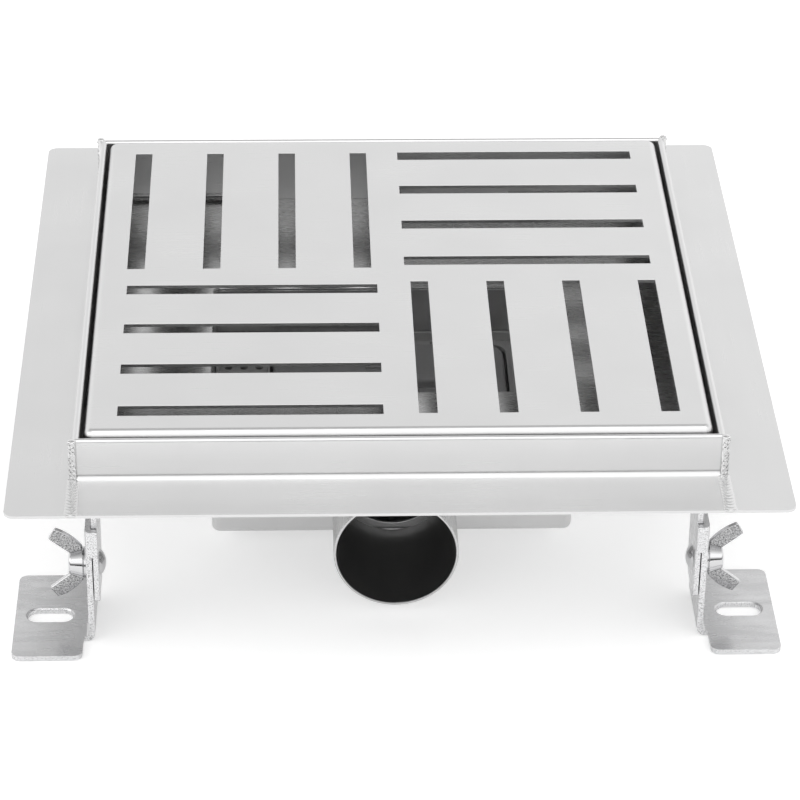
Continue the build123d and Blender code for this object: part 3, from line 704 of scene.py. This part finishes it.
class DRAIN_OT_trap(DressOperator, bpy.types.Operator):
    """Moulded trap, bell and strainer, and the rubber gasket"""

    bl_idname = "drain.trap"
    bl_label = "Trap insert"

    def execute(self, context):
        sizes, colours = self.settings(context)
        body = polypropylene("polypropylene_moulded_trap", sizes, colours.trap)
        bell = polypropylene("polypropylene_moulded_bell", sizes, colours.bell)
        softened_piece("trap_body", "trap_tub", body, sizes.mould_round,
                       more_cuts=[(0, x) for x in (-LEG_X, LEG_X)])
        softened_piece("strainer_deck", "strainer", body, sizes.edge_round,
                       more_cuts=[(axis, at) for axis, rows in HOLE_ROWS.items() for at in rows])
        softened_piece("trap_bell", "bell", bell, sizes.edge_round)
        softened_piece("trap_gasket", "gasket", rubber(sizes, colours.gasket),
                       sizes.mould_round)
        return {"FINISHED"}


class DRAIN_OT_feet(DressOperator, bpy.types.Operator):
    """Hangers and feet in zinc-plated sheet"""

    bl_idname = "drain.feet"
    bl_label = "Feet and hangers"

    def execute(self, context):
        sizes, colours = self.settings(context)
        material = zinc_plate(sizes, colours.zinc)
        foot_round = sizes.edge_round * 1.4
        for corner in CORNERS:
            softened_piece(f"hanger_{corner}", f"hanger_strip_{corner}", material,
                           sizes.edge_round)
            softened_piece(f"foot_{corner}", f"foot_plate_{corner}", material, foot_round)
        return {"FINISHED"}


class DRAIN_OT_fasteners(DressOperator, bpy.types.Operator):
    """Carriage bolts with threads, washers and wing nuts"""

    bl_idname = "drain.fasteners"
    bl_label = "Bolts and wing nuts"

    def execute(self, context):
        sizes, colours = self.settings(context)
        bright = zinc_bolt(colours.zinc)
        cast = zinc_cast(sizes, colours.zinc, colours.zinc_pit)
        washer_round = 0.00015
        for corner, (side_x, _) in CORNERS.items():
            low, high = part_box(f"washer_{corner}")
            axis = (0.0, (low.y + high.y) / 2, (low.z + high.z) / 2)
            softened_piece(f"washer_{corner}", f"flat_washer_{corner}", bright,
                           washer_round)
            surface_piece(f"carriage_bolt_{corner}", self.bolt(corner, side_x, axis, sizes), bright,
                          "drain", [f"clamp_bolt_{corner}"])
            surface_piece(f"wing_nut_cast_{corner}", self.wing_nut(corner, side_x, axis, sizes), cast,
                          f"wing_nut_{corner}", [f"wing_nut_{corner}"],
                          sharp_degrees=30)
        return {"FINISHED"}

    def bolt(self, corner, side_x, axis, sizes):
        """Low dome head, rounded square neck and a threaded shank.

        The shank's radius is its crest's radius - depth x (1.25 |2 phase - 1| - 0.12, held from 0 to 1), with
        phase = distance / pitch - turn, so the crest climbs one pitch a turn. Crest and root are flat."""
        head_edge, tip_bevel, crest_r, rows_per_turn = 0.0001, 0.0006, 0.00298, 14
        neck_length, neck_half, neck_round = 0.0022, 0.0032, 0.0004
        neck_sunk, shank_sunk = 0.0001, 0.0002
        low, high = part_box(f"clamp_bolt_{corner}")
        start, end = sorted((abs(low.x), abs(high.x)))
        hanger_low, hanger_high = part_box(f"hanger_{corner}")
        neck_end = max(abs(hanger_low.x), abs(hanger_high.x))
        head_r = (high.z - low.z) / 2
        neck_start = neck_end - neck_length
        head_height = neck_start - start
        dome = (head_r ** 2 + head_height ** 2) / (2 * head_height)
        radius = np.linspace(0, head_r, 14)
        face = start + dome - np.sqrt(dome ** 2 - radius ** 2)
        profile = np.concatenate([np.stack([face, radius], -1),
                                  [[neck_start, head_r - head_edge], [neck_start, 0.0]]])
        head = turned(profile, 48, side_x, axis)

        a, b = rounded_section(neck_half, neck_half, neck_round)
        neck_top = neck_start - neck_sunk
        along = np.array([neck_top, neck_top, neck_end, neck_end])[:, None]
        size = np.array([0.0, 1.0, 1.0, 0.0])[:, None]
        neck = np.stack(np.broadcast_arrays(side_x * along, axis[1] + a * size, axis[2] + b * size), -1)

        rows = int((end - neck_end) / sizes.thread_pitch * rows_per_turn)
        along = np.linspace(neck_end - shank_sunk, end, rows)[:, None]
        turn = np.linspace(0, 1, 40, endpoint=False)[None, :]
        phase = along / sizes.thread_pitch - turn
        phase = phase - np.floor(phase)
        valley = np.clip(np.abs(2 * phase - 1) * 1.25 - 0.12, 0, 1)
        radius = crest_r - sizes.thread_depth * valley
        radius = np.minimum(radius, crest_r - tip_bevel + (end - along))
        ends = np.ones_like(along)
        ends[0] = ends[-1] = 0
        x = side_x * along + 0 * turn
        y = axis[1] + radius * ends * np.cos(2 * np.pi * turn)
        z = axis[2] + radius * ends * np.sin(2 * np.pi * turn)
        return [head, (neck, False, True), (np.stack([x, y, z], -1), False, True)]

    def wing_nut(self, corner, side_x, axis, sizes):
        """Turned hub with a plain bore, chamfered at both ends, and two wings: rounded sections carried from
        the hub's middle to the tip between an inner edge and a bowed outer edge."""
        low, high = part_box(f"wing_nut_{corner}")
        base = min(abs(low.x), abs(high.x))
        hub_length, base_r, top_r, bore_r, edge_r = 0.0062, 0.0064, 0.005, 0.0031, 0.0013
        bore_bevel, tip_width, tip_slant = 0.0005, 0.0045, 0.0028
        tip_share, tip_round, bow, edge_round = 0.04, 0.0005, 0.0010, 0.00045
        outer = [[0.0, base_r - 0.0004], [0.0002, base_r - 0.0001], [0.0006, base_r]]
        shoulder = arc_points((hub_length - edge_r, top_r - edge_r + 0.0001), edge_r, 80, 0, 9)
        bore = [[hub_length, bore_r + bore_bevel], [hub_length - bore_bevel, bore_r],
                [bore_bevel, bore_r], [0.0, bore_r + bore_bevel]]
        profile = np.concatenate([outer, shoulder, bore])
        hub = turned(profile, 64, side_x, (side_x * base, axis[1], axis[2]))

        # Corners of a wing, as distance out along the bolt and distance from its axis.
        inner_line = np.array([[0.0050, 0.0044], [sizes.wing_reach, sizes.wing_rise - tip_width]])
        tip = [sizes.wing_reach - tip_slant, sizes.wing_rise]
        heel, root, tip = np.array([[0.0006, 0.0044], [0.0006, 0.0077], tip])
        tip_turn = np.linspace(0, np.pi / 2, 6)[1:]
        steps = 26
        share = np.concatenate([np.linspace(0, 1 - tip_share, steps),
                                1 - tip_share + tip_share * np.sin(tip_turn)])
        inset = np.concatenate([np.zeros(steps), tip_round * (1 - np.cos(tip_turn))])
        share, inset = np.append(share, 1.0)[:, None], np.append(inset, 0.0)[:, None]
        inner = inner_line[0] + share * (inner_line[1] - inner_line[0])
        bend = 0.33
        lower = heel + np.clip(share / bend, 0, 1) * (root - heel)
        upper = np.clip((share - bend) / (1 - bend), 0, 1)
        normal = np.array([root[1] - tip[1], tip[0] - root[0]]) / np.linalg.norm(tip - root)
        outer_edge = lower + upper * (tip - root) + 4 * upper * (1 - upper) * bow * normal
        middle, half_vector = (inner + outer_edge) / 2, (outer_edge - inner) / 2
        width = np.linalg.norm(half_vector, axis=1)[:, None]
        direction = half_vector / width
        a, b = rounded_section(width - inset, sizes.wing_thickness / 2 - inset, edge_round)
        closing = np.ones_like(share)
        closing[0] = closing[-1] = 0
        a, b = a * closing, b * closing
        out = middle[:, :1] + a * direction[:, :1]
        rise = middle[:, 1:] + a * direction[:, 1:]
        wings = []
        for side in (1, -1):
            points = [side_x * (base + out), axis[1] + b, axis[2] + side * rise]
            wings.append((np.stack(np.broadcast_arrays(*points), -1), False, True))
        return [hub, *wings]


class DRAIN_OT_stage(DressOperator, bpy.types.Operator):
    """Camera, lights, floor and world"""

    bl_idname = "drain.stage"
    bl_label = "Stage"

    def execute(self, context):
        scene = context.scene
        colours = scene.drain_colours
        self.camera(scene)
        self.light("softbox_above", location=(0.1, -0.45, 1.45), target=(0, 0, 0.09), width=1.9, depth=0.8,
                   watts=5.0)
        self.light("fill_left", location=(-1.5, -0.6, 0.9), target=(0, 0, 0.06), width=0.9, depth=0.9,
                   watts=2.5)
        self.ground(colours.ground)
        self.world(scene, colours.ground)
        scene.view_settings.view_transform = "Standard"
        return {"FINISHED"}

    def camera(self, scene):
        """Camera on a 36 mm sensor, turned 2.1 degrees to the right, 31.7 degrees down and rolled 0.7."""
        stand = (-0.0400, -1.20605, 0.78514)
        azimuth, elevation, roll = (math.radians(v) for v in (2.11, 31.69, 0.69))
        ahead = Vector((math.sin(azimuth) * math.cos(elevation), math.cos(azimuth) * math.cos(elevation),
                        -math.sin(elevation)))
        right = Vector((math.cos(azimuth), -math.sin(azimuth), 0))
        up = right.cross(ahead)
        across = right * math.cos(roll) + up * math.sin(roll)
        upward = up * math.cos(roll) - right * math.sin(roll)
        data = bpy.data.cameras.new("camera")
        data.sensor_width, data.lens = 36.0, 151.32
        data.clip_start, data.clip_end = 0.05, 50.0
        camera = bpy.data.objects.new("camera", data)
        scene.collection.objects.link(camera)
        turn = Matrix((across, upward, -ahead)).transposed().to_4x4()
        camera.matrix_world = Matrix.Translation(stand) @ turn
        scene.camera = camera

    def light(self, name, location, target, width, depth, watts):
        """Rectangular lamp that faces its target."""
        data = bpy.data.lights.new(name, "AREA")
        data.shape = "RECTANGLE"
        data.size, data.size_y, data.energy = width, depth, watts
        lamp = bpy.data.objects.new(name, data)
        bpy.context.scene.collection.objects.link(lamp)
        lamp.location = location
        aim = Vector(target) - Vector(location)
        lamp.rotation_mode = "QUATERNION"
        lamp.rotation_quaternion = aim.to_track_quat("-Z", "Y")

    def ground(self, rgb):
        """Wide matt floor, a hair under the feet. The camera, gloss and glass also see a white glow on it, so
        it ends in white."""
        half, under = 3.0, -0.0002
        glow_strength, glow_in_gloss, paper_shade = 0.42, 0.7, 0.8
        mesh = bpy.data.meshes.new("floor")
        mesh.from_pydata([(-half, -half, under), (half, -half, under), (half, half, under),
                          (-half, half, under)], [], [(0, 1, 2, 3)])
        floor = bpy.data.objects.new("floor", mesh)
        bpy.context.scene.collection.objects.link(floor)
        material, tree = new_material("studio_paper")
        path = add(tree, "ShaderNodeLightPath")
        direct = [path.outputs["Is Camera Ray"], path.outputs["Is Transmission Ray"]]
        seen = add(tree, "ShaderNodeMath", direct, "Value", operation="MAXIMUM")
        mirrored = add(tree, "ShaderNodeMath", [path.outputs["Is Glossy Ray"], glow_in_gloss], "Value",
                       operation="MULTIPLY")
        seen = add(tree, "ShaderNodeMath", [seen, mirrored], "Value", operation="MAXIMUM")
        glow = add(tree, "ShaderNodeMath", [seen, glow_strength], "Value", operation="MULTIPLY")
        paper = add(tree, "ShaderNodeBsdfDiffuse", {"Color": shade(rgb, paper_shade)}, "BSDF")
        light = add(tree, "ShaderNodeEmission", {"Color": shade(rgb), "Strength": glow}, "Emission")
        both = add(tree, "ShaderNodeAddShader", [paper, light], "Shader")
        add(tree, "ShaderNodeOutputMaterial", {"Surface": both})
        mesh.materials.append(material)

    def world(self, scene, rgb):
        """White studio: white behind and greyer up to the lamps, brightest high in front, dark along the
        front horizon. The camera sees plain white. Each ramp gives the values it runs between, then the
        brightness at both."""
        world = bpy.data.worlds.new("studio")
        world.use_nodes = True
        tree = world.node_tree
        tree.nodes.clear()
        direction = add(tree, "ShaderNodeTexCoord", take="Generated")
        parts = add(tree, "ShaderNodeSeparateXYZ", [direction])
        height, depth = parts.outputs["Z"], parts.outputs["Y"]
        front = add(tree, "ShaderNodeMapRange", [height, 0.12, 0.38, 0.06, 1.45], "Result")
        roof = add(tree, "ShaderNodeMapRange", [height, 0.62, 0.9, 1.0, 0.65], "Result")
        front = add(tree, "ShaderNodeMath", [front, roof], "Value", operation="MULTIPLY")
        back = add(tree, "ShaderNodeMapRange", [height, 0.60, 0.74, 1.0, 0.5], "Result")
        side = add(tree, "ShaderNodeMapRange", [parts.outputs["X"], 0.02, 0.2, 1.0, 1.12], "Result")
        back = add(tree, "ShaderNodeMath", [back, side], "Value", operation="MULTIPLY")
        facing = add(tree, "ShaderNodeMapRange", [depth, -0.5, 0.1, 1.0, 0.0], "Result")
        level = add(tree, "ShaderNodeMix", {"Factor": facing, "A": back, "B": front}, "Result",
                    data_type="FLOAT")
        camera_ray = add(tree, "ShaderNodeLightPath", take="Is Camera Ray")
        strength = add(tree, "ShaderNodeMix", {"Factor": camera_ray, "A": level, "B": 1.0}, "Result",
                       data_type="FLOAT")
        surface = add(tree, "ShaderNodeBackground", {"Color": shade(rgb), "Strength": strength}, "Background")
        add(tree, "ShaderNodeOutputWorld", {"Surface": surface})
        scene.world = world


class DRAIN_PT_panel(bpy.types.Panel):
    """Sizes, colours and the operators in the order they are meant to run"""

    bl_idname = "DRAIN_PT_panel"
    bl_label = "Floor drain"
    bl_space_type = "VIEW_3D"
    bl_region_type = "UI"
    bl_category = "Drain"

    def draw(self, context):
        column = self.layout.column()
        for operator in OPERATORS:
            column.operator(operator.bl_idname)
        for group in (context.scene.drain_sizes, context.scene.drain_colours):
            for name in group.bl_rna.properties.keys():
                if name not in ("rna_type", "name"):
                    column.prop(group, name)


OPERATORS = (DRAIN_OT_stage, DRAIN_OT_frame, DRAIN_OT_grate, DRAIN_OT_tray, DRAIN_OT_welds, DRAIN_OT_outlet,
             DRAIN_OT_trap, DRAIN_OT_feet, DRAIN_OT_fasteners)
CLASSES = (DrainSizes, DrainColours, *OPERATORS, DRAIN_PT_panel)


def register():
    for item in CLASSES:
        bpy.utils.register_class(item)
    bpy.types.Scene.drain_sizes = PointerProperty(type=DrainSizes)
    bpy.types.Scene.drain_colours = PointerProperty(type=DrainColours)


def unregister():
    del bpy.types.Scene.drain_colours
    del bpy.types.Scene.drain_sizes
    for item in reversed(CLASSES):
        bpy.utils.unregister_class(item)


def main():
    """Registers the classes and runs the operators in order."""
    register()
    bpy.ops.drain.stage()
    bpy.ops.drain.frame()
    bpy.ops.drain.grate()
    bpy.ops.drain.tray()
    bpy.ops.drain.welds()
    bpy.ops.drain.outlet()
    bpy.ops.drain.trap()
    bpy.ops.drain.feet()
    bpy.ops.drain.fasteners()


if __name__ == "__main__":
    main()
